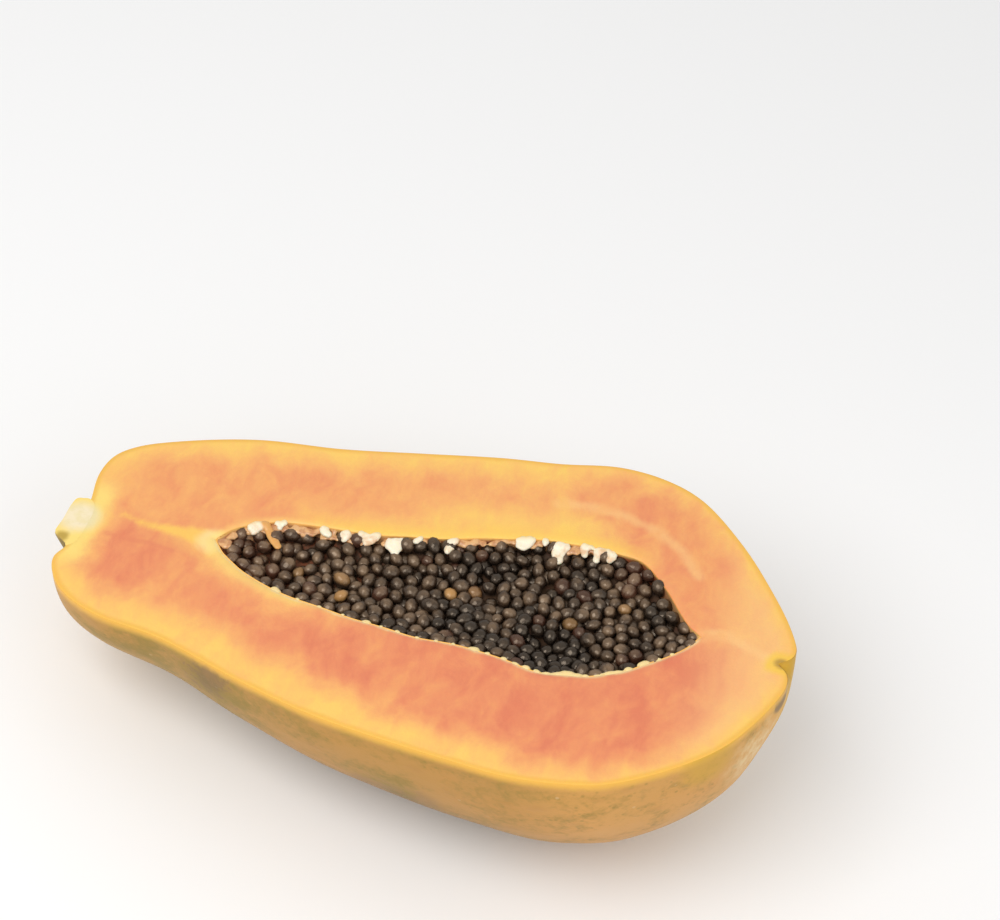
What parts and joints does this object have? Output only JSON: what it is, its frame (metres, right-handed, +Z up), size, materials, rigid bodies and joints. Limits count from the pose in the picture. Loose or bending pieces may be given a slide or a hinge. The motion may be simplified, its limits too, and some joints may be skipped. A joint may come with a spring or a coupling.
{
  "type": "halved papaya",
  "caption": "Ripe papaya cut lengthwise, lying on its rounded back with the cut face up: skin-covered flesh, a seed-filled cavity and the halved stub of the stalk.",
  "frame": {"origin": "on the surface that the fruit lies on, under the middle of its bounding box", "axes": "+X from the stalk end to the blossom end, +Z up out of the cut face, which drops a little towards the stalk end"},
  "size_m": [0.2552, 0.1484, 0.0867],
  "materials": {
    "flesh": "moist orange flesh with a thin, waxy, olive-gold skin",
    "seeds": "wet, dark seeds in clear skins",
    "stalk": "dry, pale stalk, green at the notch"
  },
  "bodies": {
    "root": {"papaya_half": "flesh", "seed_bed": "seeds", "stalk_stub": "stalk"}
  },
  "joints": []
}
